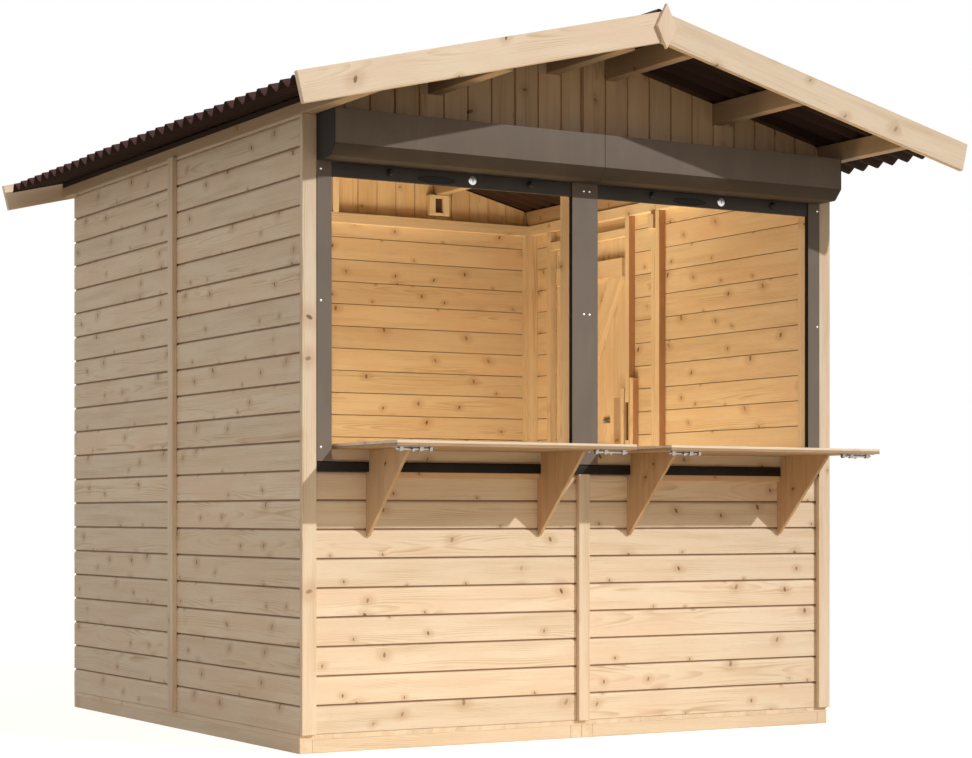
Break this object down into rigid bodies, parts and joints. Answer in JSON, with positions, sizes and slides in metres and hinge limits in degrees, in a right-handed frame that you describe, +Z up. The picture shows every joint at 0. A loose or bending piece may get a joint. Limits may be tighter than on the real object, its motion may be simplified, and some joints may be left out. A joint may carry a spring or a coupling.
{
  "type": "wooden market hut",
  "caption": "Small boarded market hut with two serving openings under rolled-up shutters, bracketed counters, a side door and a low corrugated gable roof",
  "frame": {"origin": "on the ground, under the middle of the roof, which reaches out further than anything else on all four sides", "axes": "+X to the right seen from the front, +Y from the front to the back, +Z up"},
  "size_m": [2.676, 2.81, 2.4696],
  "materials": {
    "wall_boards": "planed softwood boards, untreated",
    "trim_boards": "planed softwood, untreated",
    "frame_timber": "planed softwood studs, untreated",
    "roof_timber": "planed softwood, untreated",
    "floor_timber": "planed softwood, untreated",
    "counter_boards": "planed softwood, untreated",
    "door_boards": "planed softwood boards, untreated",
    "roof_sheets": "bitumen-soaked fibre sheet, matte, dark red-brown",
    "shutter_metal": "satin anthracite coat on aluminium",
    "hinge_steel": "zinc-plated steel"
  },
  "bodies": {
    "hut": {"base_frame": "floor_timber", "floor": "floor_timber", "left_wall_front": "wall_boards", "left_wall_back": "wall_boards", "back_wall_left": "wall_boards", "back_wall_right": "wall_boards", "right_wall_front": "wall_boards", "right_wall_lock_side": "wall_boards", "right_wall_hinge_side": "wall_boards", "right_wall_over_door": "wall_boards", "front_wall_left": "wall_boards", "front_wall_right": "wall_boards", "opening_frame": "frame_timber", "gable_front": "wall_boards", "gable_back": "wall_boards", "purlin_eave_left": "roof_timber", "purlin_eave_right": "roof_timber", "purlin_mid_left": "roof_timber", "purlin_mid_right": "roof_timber", "purlin_upper_left": "roof_timber", "purlin_upper_right": "roof_timber", "bargeboard_front_left": "trim_boards", "bargeboard_front_right": "trim_boards", "bargeboard_back_left": "trim_boards", "bargeboard_back_right": "trim_boards", "counter_left": "counter_boards", "counter_right": "counter_boards", "counter_support_left": "counter_boards", "counter_support_right": "counter_boards", "roof_sheet_left": "roof_sheets", "roof_sheet_right": "roof_sheets", "ridge_cap": "roof_sheets", "shutter_box_left": "shutter_metal", "shutter_box_right": "shutter_metal", "end_slat_left": "shutter_metal", "end_slat_right": "shutter_metal", "guide_rail_left": "shutter_metal", "guide_rail_middle": "shutter_metal", "guide_rail_right": "shutter_metal", "sill_trim": "shutter_metal", "hinge_pin_lower": "hinge_steel", "hinge_pin_upper": "hinge_steel"},
    "door": {"door_leaf": "door_boards", "hinge_strap_lower": "hinge_steel", "hinge_strap_upper": "hinge_steel"}
  },
  "joints": [
    {"name": "door_hinge", "type": "hinge", "parent": "hut", "child": "door", "pos_m": [1.1, 0.978, 1], "axis": [0, 0, 1], "range_deg": [0, 110]}
  ]
}
